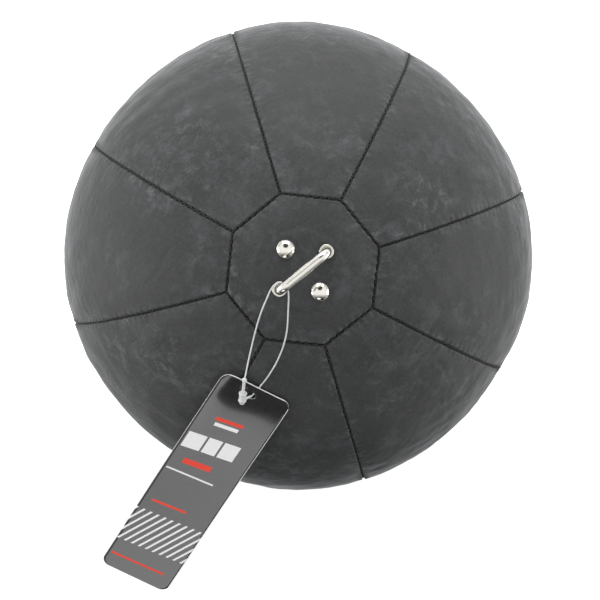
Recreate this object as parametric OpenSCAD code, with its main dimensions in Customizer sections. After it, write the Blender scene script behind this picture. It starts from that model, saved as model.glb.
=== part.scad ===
// Leather medicine ball: eight gores and two octagonal caps over a canvas lining,
// stuffed with textile wadding round a weight, with a riveted steel hanging bar and
// a card hang tag on a nylon loop. Millimetres, +Z up through the pole that carries
// the bar, origin where the ball rests on the floor.

/* [Ball] */
// Outside diameter of the leather ball
ball_d = 260; // [220:1:320]
// Thickness of the leather
leather_t = 2.2; // [1.6:0.1:3]
// Distance from the pole axis to a cap's corner
cap_corner_r = 41.2; // [36:0.1:50]
// Width of the seam between two panels
seam_gap = 1.2; // [1:0.1:1.6]
// Thickness of the canvas lining
lining_t = 0.9; // [0.6:0.1:1.4]
// Gap between two lining pieces
lining_gap = 0.4; // [0.2:0.1:1]
// Thickness of the waxed seam thread
thread_d = 0.9; // [0.6:0.1:0.9]
// How far the thread lies below the leather's surface
thread_depth = 1.3; // [0.9:0.1:1.5]

/* [Filling] */
// Outside diameter of the weight bag at the middle
core_d = 110; // [80:1:150]
// Thickness of the weight bag's canvas
core_bag_t = 1.2; // [0.8:0.1:2]

/* [Hanger] */
// Radius of the leather disc that backs the top cap
backing_r = 20; // [19.5:0.1:24]
// Thickness of that disc
backing_t = 2.2; // [1.5:0.1:3]
// Radius of the steel anchor plate
plate_r = 19; // [18.5:0.1:21]
// Thickness of the anchor plate
plate_t = 1.5; // [1:0.1:3]
// Distance between the bar's two legs
bar_span = 31; // [28:0.5:32]
// Thickness of the bar's wire
bar_wire = 5; // [4:0.5:5]
// Height of the gap under the bar
bar_gap = 8; // [7:0.5:14]
// Bend radius of the bar at the middle of its wire
bar_bend_r = 5; // [4:0.5:6]
// How far the legs reach below the anchor plate
leg_end = 5.5; // [5:0.5:8]
// Width across the flats of the nuts on the legs
nut_flats = 8; // [8:0.5:9]
// Thickness of those nuts
nut_t = 4; // [3:0.5:4.5]
// Play between a leg and its eyelet, all round
leg_play = 0.15; // [0.1:0.05:0.2]
// Wall of the eyelet's barrel
eyelet_wall = 0.4; // [0.3:0.1:0.5]
// Outside diameter of the eyelet's rolled rim
eyelet_rim_d = 7.7; // [7.5:0.1:8.5]
// Thickness of the eyelet's washer
eyelet_washer_t = 0.6; // [0.4:0.1:0.8]
// Distance between the two rivets
rivet_span = 28; // [26:0.5:30]
// Diameter of a rivet's head
rivet_head_d = 9.6; // [8:0.1:10]
// Height of a rivet's domed head
rivet_head_h = 2.4; // [1.5:0.1:3]
// Diameter of a rivet's shank
rivet_shank_d = 3.4; // [3:0.1:4]

/* [Hang tag] */
// Width of the card
tag_w = 40; // [36:1:46]
// Length of the card
tag_l = 149; // [120:1:155]
// Thickness of the card
tag_t = 0.5; // [0.3:0.1:0.6]
// Radius of the card's corners
tag_corner_r = 5; // [2:0.5:8]
// Diameter of the card's hole
tag_hole_d = 4; // [3.6:0.1:5]
// Distance from the card's top edge to the middle of the hole
tag_hole_in = 6; // [5:0.5:8]
// Thickness of the nylon loop
loop_d = 0.8; // [0.6:0.1:0.8]
// Diameter of the loop's snap lock
lock_d = 4.4; // [3.6:0.1:4.4]
// Length of the lock's barrel
lock_l = 5.5; // [4:0.5:7]

/* [Hidden] */
$fn = 96;
fit_gap = 0.1;        // between a shank and its hole, and between layers
free_gap = 0.3;       // between pieces that move past each other
corner_gap = 0.8;     // what the threads leave free where seams meet at a cap's corner
over = 1;             // how far a cut runs past a face

ball_r = ball_d / 2;
thread_r = ball_r - thread_depth;
cap_side_r = cap_corner_r * cos(22.5);
inner_r = ball_r - leather_t;
lining_r = inner_r - fit_gap;
filling_r = lining_r - lining_t - fit_gap;
core_r = core_d / 2;

// The cap is pressed flat over its backing disc.
flat_r = backing_r + 0.5;
flat_z = sqrt(ball_r * ball_r - flat_r * flat_r);
backing_top = flat_z - leather_t;
backing_bottom = backing_top - backing_t;
plate_top = backing_bottom - eyelet_washer_t - fit_gap;
plate_bottom = plate_top - plate_t;
burr_t = 0.8;
leg_x = bar_span / 2;
eyelet_bore = bar_wire + 2 * leg_play;
leg_bottom = plate_bottom - leg_end;
bar_z = flat_z + bar_gap + bar_wire / 2;
rivet_y = rivet_span / 2;
pocket_r = backing_r + 1;
pocket_z = leg_bottom - 1;

// The card lies on the ball: its plane leans this far from level, downhill towards this
// bearing, and the card is turned this much in its own plane.
tag_lean = 30;
tag_bearing = 218;
tag_turn = -16;
tag_lift = 1.6;       // middle of the card above the leather where they come closest
tag_top_x = 2;        // top edge, downhill of that place
tag_mid_y = -8;       // middle of the card, to its side
hole_x = tag_top_x + tag_hole_in;
hole_y = tag_mid_y - 0.5;

// The lock lies on the card, beside the hole.
lock_turn = 22.5;
lock_h = lock_d / 2 + tag_t / 2 + free_gap;
lock_x = hole_x + 1.5;
lock_y = hole_y - 4.4;
bulb_d = 2.8;
lock_shaft_d = 1.85;
lock_shaft_l = 8;
stub_d = 1.6;
lock_ring_r = 1;
lock_ring_wire = 0.8;

// The nylon loop, from the lock up the left strand, under the bar near its -X leg,
// and down the right strand to the back of the card's hole.
loop_points = [
    [-59.4, -25.8, 248.9],
    [-57.3, -24.1, 249.3],
    [-54.5, -21.8, 249.8],
    [-50.8, -18.7, 250.9],
    [-46.4, -15.2, 252.5],
    [-41.6, -11.4, 254.6],
    [-37, -7.9, 256.8],
    [-32.5, -4.7, 259.1],
    [-28, -1.9, 261.2],
    [-23.5, 0.6, 262.9],
    [-19.5, 2.7, 264.1],
    [-16.5, 3.7, 264.7],
    [-13.6, 3.7, 265],
    [-12.1, 2.3, 265],
    [-11.8, 0, 265],
    [-12.1, -2.4, 264.9],
    [-13.5, -4.9, 264.2],
    [-16.2, -8.2, 262.9],
    [-19.2, -11.6, 261.5],
    [-22.3, -15.2, 260],
    [-25.7, -18.8, 258.4],
    [-29.6, -22.2, 256.6],
    [-33.9, -25.2, 254.5],
    [-38, -27.6, 252.4],
    [-42.1, -29.6, 250.4],
    [-46.4, -31.3, 248.4],
    [-50.5, -32.7, 246.3],
    [-53.9, -33.6, 244.3],
    [-56.9, -34.3, 242.6],
    [-59.1, -34.8, 241.3],
    [-60.6, -35.1, 241],
    [-61.9, -35.2, 241.3]
];
loop_sides = 8;
rings_per_span = 2;

// ---- Shared shapes, all drawn about the ball's centre ----

module at_centre() translate([0, 0, ball_r]) children();

module shell(outer_r, wall) {
    difference() {
        sphere(r = outer_r);
        sphere(r = outer_r - wall);
    }
}

// Octagonal column through both poles, its sides this far from the axis
module cap_column(side_r) {
    rotate([0, 0, 22.5])
        linear_extrude(height = 2 * ball_d, center = true)
            circle(r = side_r / cos(22.5), $fn = 8);
}

// One eighth of all round, its faces moved in by half a gap, centred on +X
module eighth(gap) {
    tip = gap / 2 / sin(22.5);
    far = ball_d;
    half = (far - tip) * tan(22.5);
    linear_extrude(height = 2 * ball_d, center = true)
        polygon([[tip, 0], [far, -half], [far, half]]);
}

module gore_shape(number, outer_r, wall, gap) {
    intersection() {
        difference() {
            shell(outer_r, wall);
            cap_column(cap_side_r + gap / 2);
        }
        rotate([0, 0, 45 * (number - 1)]) eighth(gap);
    }
}

module top_half() translate([-ball_d, -ball_d, 0]) cube([2 * ball_d, 2 * ball_d, ball_d]);

module above(z) translate([-ball_d, -ball_d, z]) cube([2 * ball_d, 2 * ball_d, ball_d]);

// A round arc in the plane of X and Z, its ends given as angles from +Z towards +X
module arc_rod(radius, rod_d, from, to) {
    rotate([90, 0, 0])
        rotate([0, 0, 90 - to])
            rotate_extrude(angle = to - from)
                translate([radius, 0])
                    circle(d = rod_d, $fn = 24);
}

// ---- Leather ----

module hanger_holes(bottom, top) {
    for (side = [-1, 1]) {
        translate([side * leg_x, 0, bottom])
            cylinder(h = top - bottom, d = eyelet_bore + 2 * eyelet_wall + 2 * fit_gap);
        translate([0, side * rivet_y, bottom])
            cylinder(h = top - bottom, d = rivet_shank_d + 2 * fit_gap);
    }
}

module top_cap() {
    color("#55585b") at_centre() difference() {
        intersection() {
            difference() {
                sphere(r = ball_r);
                above(flat_z);
            }
            cap_column(cap_side_r - seam_gap / 2);
            top_half();
        }
        difference() {
            sphere(r = inner_r);
            above(backing_top);
        }
        hanger_holes(backing_top - over, flat_z + over);
    }
}

module bottom_cap() {
    color("#55585b") at_centre() intersection() {
        shell(ball_r, leather_t);
        cap_column(cap_side_r - seam_gap / 2);
        mirror([0, 0, 1]) top_half();
    }
}

module gore(number) {
    color("#55585b") at_centre() gore_shape(number, ball_r, leather_t, seam_gap);
}

module backing_disc() {
    color("#3b3c3d") at_centre() difference() {
        translate([0, 0, backing_bottom]) cylinder(h = backing_t, r = backing_r);
        hanger_holes(backing_bottom - over, backing_top + over);
    }
}

// ---- Thread ----

module seam_thread(number) {
    // where the thread's own sphere crosses the cap's corner
    start = asin(cap_corner_r / thread_r) + corner_gap / thread_r * 180 / PI;
    color("#2a2b2c") at_centre() rotate([0, 0, 45 * number - 22.5])
        arc_rod(thread_r, thread_d, start, 180 - start);
}

// Eight stretches, each dipping through the leather just short of the corners
module cap_thread() {
    side_arc_r = sqrt(thread_r * thread_r - cap_side_r * cap_side_r);
    half_turn = asin((cap_side_r * tan(22.5) - corner_gap / 2) / side_arc_r);
    for (side = [0:7])
        rotate([0, 0, 45 * side]) translate([cap_side_r, 0, 0])
            rotate([0, 0, 90]) arc_rod(side_arc_r, thread_d, -half_turn, half_turn);
}

module top_cap_thread() {
    color("#2a2b2c") at_centre() cap_thread();
}

module bottom_cap_thread() {
    color("#2a2b2c") at_centre() mirror([0, 0, 1]) cap_thread();
}

// ---- Canvas lining ----

module lining_gore(number) {
    color("#cfc6ae") at_centre() gore_shape(number, lining_r, lining_t, lining_gap);
}

module lining_top_ring() {
    color("#cfc6ae") at_centre() difference() {
        intersection() {
            shell(lining_r, lining_t);
            cap_column(cap_side_r - lining_gap / 2);
            top_half();
        }
        cylinder(h = ball_d, r = pocket_r);
    }
}

module lining_bottom_cap() {
    color("#cfc6ae") at_centre() intersection() {
        shell(lining_r, lining_t);
        cap_column(cap_side_r - lining_gap / 2);
        mirror([0, 0, 1]) top_half();
    }
}

// ---- Hanger ----

module anchor_plate() {
    color("#8d8f90") at_centre() difference() {
        translate([0, 0, plate_bottom]) cylinder(h = plate_t, r = plate_r);
        for (side = [-1, 1]) {
            translate([side * leg_x, 0, plate_bottom - over])
                cylinder(h = plate_t + 2 * over, d = bar_wire + 2 * fit_gap);
            translate([0, side * rivet_y, plate_bottom - over])
                cylinder(h = plate_t + 2 * over, d = rivet_shank_d + 2 * fit_gap);
        }
    }
}

module hanging_bar() {
    straight = bar_span - 2 * bar_bend_r;
    leg = bar_z - bar_bend_r - leg_bottom;
    color("#c9c6bd") at_centre() union() {
        translate([-straight / 2, 0, bar_z]) rotate([0, 90, 0])
            cylinder(h = straight, d = bar_wire);
        for (side = [0, 1]) mirror([side, 0, 0]) {
            translate([leg_x, 0, leg_bottom]) cylinder(h = leg, d = bar_wire);
            translate([leg_x - bar_bend_r, 0, bar_z - bar_bend_r])
                rotate([90, 0, 0])
                    rotate_extrude(angle = 90)
                        translate([bar_bend_r, 0])
                            circle(d = bar_wire);
        }
    }
}

module bar_nut(side) {
    color("#9a9b9c") at_centre() translate([side * leg_x, 0, plate_bottom - nut_t])
        difference() {
            cylinder(h = nut_t, d = nut_flats / cos(30), $fn = 6);
            translate([0, 0, -over]) cylinder(h = nut_t + 2 * over, d = bar_wire + 2 * fit_gap);
        }
}

module eyelet(side) {
    barrel_r = eyelet_bore / 2 + eyelet_wall;
    rim_h = 0.9;
    rim_r = eyelet_rim_d / 2;
    color("#b9b7b0") at_centre() translate([side * leg_x, 0, 0])
        rotate_extrude()
            difference() {
                union() {
                    translate([0, backing_bottom - eyelet_washer_t])
                        square([barrel_r, flat_z - backing_bottom + eyelet_washer_t + rim_h / 2]);
                    translate([0, flat_z]) square([rim_r - rim_h / 2, rim_h]);
                    translate([rim_r - rim_h / 2, flat_z + rim_h / 2])
                        circle(d = rim_h, $fn = 32);
                }
                translate([-over, backing_bottom - 2 * over])
                    square([eyelet_bore / 2 + over, flat_z - backing_bottom + 4 * over]);
            }
}

module eyelet_washer(side) {
    color("#9a9b9c") at_centre()
        translate([side * leg_x, 0, backing_bottom - eyelet_washer_t])
            difference() {
                cylinder(h = eyelet_washer_t, d = eyelet_rim_d);
                translate([0, 0, -over])
                    cylinder(h = 3 * over, d = eyelet_bore + 2 * eyelet_wall + 2 * fit_gap);
            }
}

module rivet(side) {
    head_r = rivet_head_d / 2;
    dome_r = (head_r * head_r + rivet_head_h * rivet_head_h) / (2 * rivet_head_h);
    tail_z = plate_bottom - burr_t;
    color("#d8d8d6") at_centre() translate([0, side * rivet_y, 0]) union() {
        intersection() {
            translate([0, 0, flat_z + rivet_head_h - dome_r]) sphere(r = dome_r);
            translate([0, 0, flat_z]) cylinder(h = rivet_head_h + over, r = head_r);
        }
        translate([0, 0, tail_z]) cylinder(h = flat_z - tail_z + over / 2, d = rivet_shank_d);
        translate([0, 0, tail_z - burr_t]) cylinder(h = burr_t, d = rivet_shank_d + 1.6);
    }
}

module rivet_burr(side) {
    color("#b7935a") at_centre() translate([0, side * rivet_y, plate_bottom - burr_t])
        difference() {
            cylinder(h = burr_t, d = rivet_head_d - 1);
            translate([0, 0, -over]) cylinder(h = 3 * over, d = rivet_shank_d + 2 * fit_gap);
        }
}

// ---- Filling ----

module wadding() {
    color("#8e8a86") at_centre() difference() {
        sphere(r = filling_r);
        sphere(r = core_r + fit_gap);
        translate([0, 0, pocket_z]) cylinder(h = ball_d, r = pocket_r);
    }
}

module weight_bag() {
    color("#d9cfb4") at_centre() shell(core_r, core_bag_t);
}

module weight_fill() {
    color("#c2a878") at_centre() sphere(r = core_r - core_bag_t - fit_gap);
}

// ---- Hang tag ----

// Local frame of the card: X down its length, Y across it, Z out of its face
module on_tag() {
    at_centre() rotate([0, 0, tag_bearing]) rotate([0, tag_lean, 0])
        translate([0, 0, ball_r + tag_lift]) rotate([0, 0, tag_turn]) children();
}

module card_outline() {
    left = tag_mid_y - tag_w / 2;
    translate([tag_top_x + tag_corner_r, left])
        square([tag_l - 2 * tag_corner_r, tag_w]);
    translate([tag_top_x, left + tag_corner_r])
        square([tag_l, tag_w - 2 * tag_corner_r]);
    for (x = [tag_top_x + tag_corner_r, tag_top_x + tag_l - tag_corner_r])
        for (y = [left + tag_corner_r, left + tag_w - tag_corner_r])
            translate([x, y]) circle(r = tag_corner_r);
}

module hang_tag() {
    color("#1b1c1d") on_tag() translate([0, 0, -tag_t / 2])
        linear_extrude(height = tag_t) difference() {
            card_outline();
            translate([hole_x, hole_y]) circle(d = tag_hole_d);
        }
}

module loop_lock() {
    stub_from = [lock_x + 0.4, lock_y + lock_d / 2 - 0.6, lock_h];
    stub_to = [hole_x, hole_y, 0.3];
    run = stub_to - stub_from;
    color("#e9ebea") on_tag() union() {
        translate([lock_x, lock_y, lock_h]) rotate([0, 0, lock_turn]) rotate([0, 90, 0]) {
            translate([0, 0, -lock_l / 2]) cylinder(h = lock_l, d = lock_d);
            translate([0, 0, -lock_l / 2 - lock_shaft_l])
                cylinder(h = lock_shaft_l + over, d = lock_shaft_d);
            translate([0, 0, -lock_l / 2 - lock_shaft_l]) sphere(d = bulb_d);
            translate([0, 0, lock_l / 2 + lock_ring_r]) rotate([0, 90, 0])
                rotate_extrude() translate([lock_ring_r, 0]) circle(d = lock_ring_wire, $fn = 24);
        }
        translate(stub_from)
            rotate([0, acos(run[2] / norm(run)), atan2(run[1], run[0])])
                cylinder(h = norm(run), d = stub_d);
    }
}

// Smooth curve through the loop's points, then rings of a round tube along it
function cubic(a, b, c, d, t) =
    b + 0.5 * t * (c - a + t * (2 * a - 5 * b + 4 * c - d + t * (3 * (b - c) + d - a)));
function point_at(list, i) = list[max(0, min(len(list) - 1, i))];
function smooth_route(list, steps) = concat(
    [for (i = [0:len(list) - 2]) for (k = [0:steps - 1])
        cubic(point_at(list, i - 1), list[i], list[i + 1], point_at(list, i + 2), k / steps)],
    [list[len(list) - 1]]);
function unit(v) = v / norm(v);
function heading(list, i) = unit(point_at(list, i + 1) - point_at(list, i - 1));
function ring(centre, along, r, sides) =
    let (side = unit(cross([0, 0, 1], along)), lift = cross(along, side))
    [for (k = [0:sides - 1])
        centre + r * (cos(360 * k / sides) * side + sin(360 * k / sides) * lift)];

module round_tube(list, d, sides) {
    last = len(list) - 1;
    rings = [for (i = [0:last]) each ring(list[i], heading(list, i), d / 2, sides)];
    walls = [for (i = [0:last - 1]) for (k = [0:sides - 1])
        let (next = (k + 1) % sides)
        [i * sides + k, (i + 1) * sides + k, (i + 1) * sides + next, i * sides + next]];
    start = [for (k = [0:sides - 1]) k];
    end = [for (k = [sides - 1:-1:0]) last * sides + k];
    polyhedron(points = rings, faces = concat(walls, [start, end]));
}

module tag_loop() {
    color("#eceeed") round_tube(smooth_route(loop_points, rings_per_span), loop_d, loop_sides);
}

top_cap();
bottom_cap();
gore(1);  // gore_1
gore(2);  // gore_2
gore(3);  // gore_3
gore(4);  // gore_4
gore(5);  // gore_5
gore(6);  // gore_6
gore(7);  // gore_7
gore(8);  // gore_8
seam_thread(1);  // seam_thread_1
seam_thread(2);  // seam_thread_2
seam_thread(3);  // seam_thread_3
seam_thread(4);  // seam_thread_4
seam_thread(5);  // seam_thread_5
seam_thread(6);  // seam_thread_6
seam_thread(7);  // seam_thread_7
seam_thread(8);  // seam_thread_8
top_cap_thread();
bottom_cap_thread();
lining_gore(1);  // lining_gore_1
lining_gore(2);  // lining_gore_2
lining_gore(3);  // lining_gore_3
lining_gore(4);  // lining_gore_4
lining_gore(5);  // lining_gore_5
lining_gore(6);  // lining_gore_6
lining_gore(7);  // lining_gore_7
lining_gore(8);  // lining_gore_8
lining_top_ring();
lining_bottom_cap();
backing_disc();
anchor_plate();
hanging_bar();
bar_nut(1);  // bar_nut_1
bar_nut(-1);  // bar_nut_2
eyelet(1);  // eyelet_1
eyelet(-1);  // eyelet_2
eyelet_washer(1);  // eyelet_washer_1
eyelet_washer(-1);  // eyelet_washer_2
rivet(1);  // rivet_1
rivet(-1);  // rivet_2
rivet_burr(1);  // rivet_burr_1
rivet_burr(-1);  // rivet_burr_2
wadding();
weight_bag();
weight_fill();
tag_loop();
loop_lock();
hang_tag();
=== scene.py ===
import math

import bpy
import numpy as np
from mathutils import Matrix, Vector


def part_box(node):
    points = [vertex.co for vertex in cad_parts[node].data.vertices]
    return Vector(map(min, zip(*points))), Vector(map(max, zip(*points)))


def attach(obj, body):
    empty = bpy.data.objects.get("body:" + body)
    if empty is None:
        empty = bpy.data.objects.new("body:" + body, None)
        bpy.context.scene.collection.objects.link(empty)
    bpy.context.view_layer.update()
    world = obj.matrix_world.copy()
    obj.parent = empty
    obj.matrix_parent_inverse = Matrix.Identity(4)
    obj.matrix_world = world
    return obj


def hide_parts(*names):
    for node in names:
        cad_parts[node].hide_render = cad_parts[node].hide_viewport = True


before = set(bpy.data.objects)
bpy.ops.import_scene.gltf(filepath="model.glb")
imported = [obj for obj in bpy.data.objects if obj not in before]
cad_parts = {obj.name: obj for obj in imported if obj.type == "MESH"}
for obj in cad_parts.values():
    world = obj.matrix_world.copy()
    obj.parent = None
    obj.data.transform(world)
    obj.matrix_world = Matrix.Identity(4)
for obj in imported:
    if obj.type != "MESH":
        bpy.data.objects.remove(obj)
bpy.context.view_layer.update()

# ---- Camera ----
# The viewer looks almost straight down onto the pole that carries the hanging bar,
# from a metre and a half away, with a long lens shifted a little towards the tag.
camera_distance = 1.5
gore_boxes = [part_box(f"gore_{number}") for number in range(1, 9)]
ball_low = np.min([low for low, high in gore_boxes], axis=0)
ball_high = np.max([high for low, high in gore_boxes], axis=0)
ball_centre = Vector((ball_low + ball_high) / 2)
ball_radius = float(ball_high[0] - ball_low[0]) / 2


def direction(azimuth, elevation):
    """Unit vector at an azimuth from +X and an elevation above the floor, in degrees."""
    a = math.radians(azimuth)
    e = math.radians(elevation)
    return Vector((math.cos(e) * math.cos(a), math.cos(e) * math.sin(a), math.sin(e)))


def placed(name, data):
    """An object in the scene, made from its data."""
    made = bpy.data.objects.new(name, data)
    bpy.context.scene.collection.objects.link(made)
    return made


view_back = direction(69.4, 86.45)
view_right = direction(-38.9, 0)
view_right = (view_right - view_right.dot(view_back) * view_back).normalized()
view_up = view_back.cross(view_right)
camera_data = bpy.data.cameras.new("camera")
camera_data.lens = 160.56
camera_data.sensor_width = 36
camera_data.shift_x = 0.0032
camera_data.shift_y = -0.0737
camera = placed("camera", camera_data)
camera.matrix_world = Matrix.Translation(ball_centre + camera_distance * view_back) @ Matrix(
    (view_right, view_up, view_back)
).transposed().to_4x4()
bpy.context.scene.camera = camera

# ---- Floor and studio light ----
# A white floor, which glows white to the camera. For the light it sends onto the ball it
# glows too and carries painted shade, nearly black towards the bottom of the view. White
# surroundings, darker towards the bottom of the view, with one dark patch above. Large soft
# lights stand over the ball and at both sides, and a small one faces the hang tag's gloss.


def add(tree, kind, settings=None, feeds=None, result=0):
    """A shader node with its settings, its sockets fed by name or number. Gives one result."""
    made = tree.nodes.new("ShaderNode" + kind)
    for key, value in (settings or {}).items():
        if isinstance(key, int) or key in made.inputs:
            made.inputs[key].default_value = value
        else:
            setattr(made, key, value)
    for key, socket in (feeds or {}).items():
        tree.links.new(socket, made.inputs[key])
    return made.outputs[result] if made.outputs else None


def new_finish(name):
    """An empty node material and its tree."""
    finish = bpy.data.materials.new(name)
    finish.use_nodes = True
    finish.node_tree.nodes.clear()
    return finish, finish.node_tree


def on_object(tree):
    """Where each point of a surface lies on its piece."""
    return add(tree, "TexCoord", result="Object")


def lie_along(tree, place, way):
    """How far a place lies along a direction."""
    return add(tree, "VectorMath", {"operation": "DOT_PRODUCT", 1: way}, {0: place}, "Value")


def ranged(tree, value, low, high, to_low=0.0, to_high=1.0):
    """A value moved from one range to another, and held inside it."""
    return add(tree, "MapRange", {
        "From Min": low, "From Max": high, "To Min": to_low, "To Max": to_high}, {"Value": value})


def maths(tree, operation, *values):
    """One step of arithmetic on numbers or on other steps' results."""
    made = tree.nodes.new("ShaderNodeMath")
    made.operation = operation
    for place, value in enumerate(values):
        if isinstance(value, (int, float)):
            made.inputs[place].default_value = value
        else:
            tree.links.new(value, made.inputs[place])
    return made.outputs[0]


floor_size = 6.0
floor_finish, tree = new_finish("floor_paint_with_painted_shade")
floor_glow = add(tree, "Emission", {"Color": (1, 1, 1, 1), "Strength": 1.0})
floor_way = add(tree, "VectorMath", {"operation": "NORMALIZE"}, {0: on_object(tree)})
# painted shade: for light that bounces onto the ball, the floor turns nearly black towards the bottom of
# the view
floor_painted_shade = ranged(tree, lie_along(tree, floor_way, view_up), -0.94, -0.55, 0.02, 0.86)
floor_paint_with_painted_shade = add(tree, "BsdfDiffuse", {}, {"Color": floor_painted_shade})
floor_seen = add(tree, "AddShader", {}, {0: floor_glow, 1: floor_paint_with_painted_shade})
floor_lamp = add(tree, "Emission", {"Strength": 0.4}, {"Color": floor_painted_shade})
floor_lit = add(tree, "AddShader", {}, {0: floor_lamp, 1: floor_paint_with_painted_shade})
floor_mix = add(tree, "MixShader", {}, {
    0: add(tree, "LightPath", result="Is Camera Ray"), 1: floor_lit, 2: floor_seen})
add(tree, "OutputMaterial", {}, {"Surface": floor_mix})
floor_mesh = bpy.data.meshes.new("floor")
half = floor_size / 2
floor_mesh.from_pydata(
    [(-half, -half, 0), (half, -half, 0), (half, half, 0), (-half, half, 0)], [], [(0, 1, 2, 3)])
floor_mesh.materials.append(floor_finish)
floor = placed("floor", floor_mesh)

world = bpy.data.worlds.new("studio")
world.use_nodes = True
bpy.context.scene.world = world
sky = world.node_tree
sky_way = add(sky, "TexCoord", result="Generated")
dark_tilt = math.radians(34)
dark_way = math.cos(dark_tilt) * view_back + math.sin(dark_tilt) * view_up
front_white = ranged(sky, lie_along(sky, sky_way, view_back), -0.1, 0.6, 0.45, 1.02)
low_shade = ranged(sky, lie_along(sky, sky_way, view_up), -0.94, -0.5, 0.03, 1.0)
dark_gap = ranged(sky, lie_along(sky, sky_way, dark_way), 0.885, 0.935, 1.0, 0.05)
sky_light = maths(sky, "MULTIPLY", maths(sky, "MULTIPLY", front_white, low_shade), dark_gap)
backdrop = maths(sky, "MAXIMUM", sky_light, add(sky, "LightPath", result="Is Camera Ray"))
sky.links.new(backdrop, sky.nodes["Background"].inputs["Strength"])
sky.nodes["Background"].inputs["Color"].default_value = (1, 1, 1, 1)
bpy.context.scene.view_settings.view_transform = "Standard"


def softbox(name, azimuth, elevation, distance, width, height, power):
    """A soft area light that faces the middle of the ball."""
    lamp_data = bpy.data.lights.new(name, "AREA")
    lamp_data.shape = "RECTANGLE"
    lamp_data.size = width
    lamp_data.size_y = height
    lamp_data.energy = power
    lamp = placed(name, lamp_data)
    towards = direction(azimuth, elevation)
    lamp.location = ball_centre + distance * towards
    lamp.rotation_euler = towards.to_track_quat("Z", "Y").to_euler()
    lamp.visible_camera = False


# azimuth and elevation in degrees, then distance, width, height and power
softbox("top_light", 52, 22, 1.8, 1.8, 0.8, 23)
softbox("left_light", 146, 4, 1.5, 1.0, 0.9, 9)
softbox("right_light", -45, 4, 1.5, 1.0, 0.9, 7)
softbox("tag_light", 224, 17, 1.6, 0.62, 0.41, 1.65)

# ---- Nylon loop ----
# One strand of white nylon, moulded in one piece with its snap lock. It passes under the
# hanging bar beside a leg and through the hole of the hang tag.
loop_thickness = 0.0008
loop_points = [Vector(point) / 1000 for point in (
    (-59.4, -25.8, 248.9), (-57.3, -24.1, 249.3), (-54.5, -21.8, 249.8), (-50.8, -18.7, 250.9),
    (-46.4, -15.2, 252.5), (-41.6, -11.4, 254.6), (-37, -7.9, 256.8), (-32.5, -4.7, 259.1),
    (-28, -1.9, 261.2), (-23.5, 0.6, 262.9), (-19.5, 2.7, 264.1), (-16.5, 3.7, 264.7),
    (-13.6, 3.7, 265), (-12.1, 2.3, 265), (-11.8, 0, 265), (-12.1, -2.4, 264.9),
    (-13.5, -4.9, 264.2), (-16.2, -8.2, 262.9), (-19.2, -11.6, 261.5), (-22.3, -15.2, 260),
    (-25.7, -18.8, 258.4), (-29.6, -22.2, 256.6), (-33.9, -25.2, 254.5), (-38, -27.6, 252.4),
    (-42.1, -29.6, 250.4), (-46.4, -31.3, 248.4), (-50.5, -32.7, 246.3), (-53.9, -33.6, 244.3),
    (-56.9, -34.3, 242.6), (-59.1, -34.8, 241.3), (-60.6, -35.1, 241), (-61.9, -35.2, 241.3))]


def cloudy(tree, place, scale, detail, roughness=0.5, distortion=0.0, hide=None):
    """Uneven soft tones, with so many to a metre. A hide value gives each panel its own."""
    settings = {"Scale": scale, "Detail": detail, "Roughness": roughness, "Distortion": distortion}
    feeds = {"Vector": place}
    if hide is not None:
        settings = {"noise_dimensions": "4D", **settings}
        feeds["W"] = hide
    return add(tree, "TexNoise", settings, feeds)


def two_tone(tree, share, first, second):
    """A colour part of the way from one to another; each is fixed or is itself a mixture."""
    settings, feeds = {"data_type": "RGBA"}, {0: share}
    for place, colour in ((6, first), (7, second)):
        if isinstance(colour, tuple):
            settings[place] = (*colour, 1)
        else:
            feeds[place] = colour
    return add(tree, "Mix", settings, feeds, 2)


def raised(tree, height, strength, depth, under=None, sunk=False):
    """Fine relief on a surface, on top of coarser relief where that is given."""
    feeds = {"Height": height}
    if under is not None:
        feeds["Normal"] = under
    return add(tree, "Bump", {"Strength": strength, "Distance": depth, "invert": sunk}, feeds)


def cover(tree, settings, feeds):
    """The surface itself, joined to the end of its finish."""
    surface = add(tree, "BsdfPrincipled", settings, feeds)
    add(tree, "OutputMaterial", {}, {"Surface": surface})


nylon, tree = new_finish("nylon")
nylon_cloud = cloudy(tree, on_object(tree), 900, 2)
cover(tree, {
    "Roughness": 0.28, "Subsurface Weight": 0.35, "Subsurface Radius": (1, 1, 1),
    "Subsurface Scale": 0.0006}, {
    "Base Color": two_tone(tree, nylon_cloud, (0.60, 0.61, 0.62), (0.76, 0.77, 0.78)),
    "Normal": raised(tree, nylon_cloud, 0.15, 0.00005)})

loop_curve = bpy.data.curves.new("nylon_loop", "CURVE")
loop_curve.dimensions = "3D"
loop_curve.bevel_depth = loop_thickness / 2
loop_curve.bevel_resolution = 3
loop_curve.resolution_u = 6
loop_curve.use_fill_caps = True
strand = loop_curve.splines.new("BEZIER")
strand.bezier_points.add(len(loop_points) - 1)
for place, point in enumerate(loop_points):
    before = loop_points[max(place - 1, 0)]
    after = loop_points[min(place + 1, len(loop_points) - 1)]
    knot = strand.bezier_points[place]
    knot.handle_left_type = knot.handle_right_type = "FREE"
    knot.co = point
    knot.handle_left = point - (after - before) / 6
    knot.handle_right = point + (after - before) / 6
loop_curve.materials.append(nylon)
nylon_loop = placed("nylon_loop", loop_curve)
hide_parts("tag_loop")
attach(nylon_loop, "loop")

# ---- Snap lock ----
# The loop's moulded lock: a bulb on a tapered shaft that is pushed into a barrel for
# good, a pull ring at the barrel's end, and a stub where the strand leaves it.

# The card's own frame, which the lock lies in too: down its length, across it, and out
# of its printed face.
tag_down = Vector((-0.82570, -0.29532, -0.48063))
tag_across = Vector((0.40371, -0.90445, -0.13782))
tag_out = tag_down.cross(tag_across).normalized()
tag_height = 0.1316
to_tag = Matrix.Translation(ball_centre + tag_height * tag_out) @ Matrix(
    (tag_down, tag_across, tag_out)).transposed().to_4x4()


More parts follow.
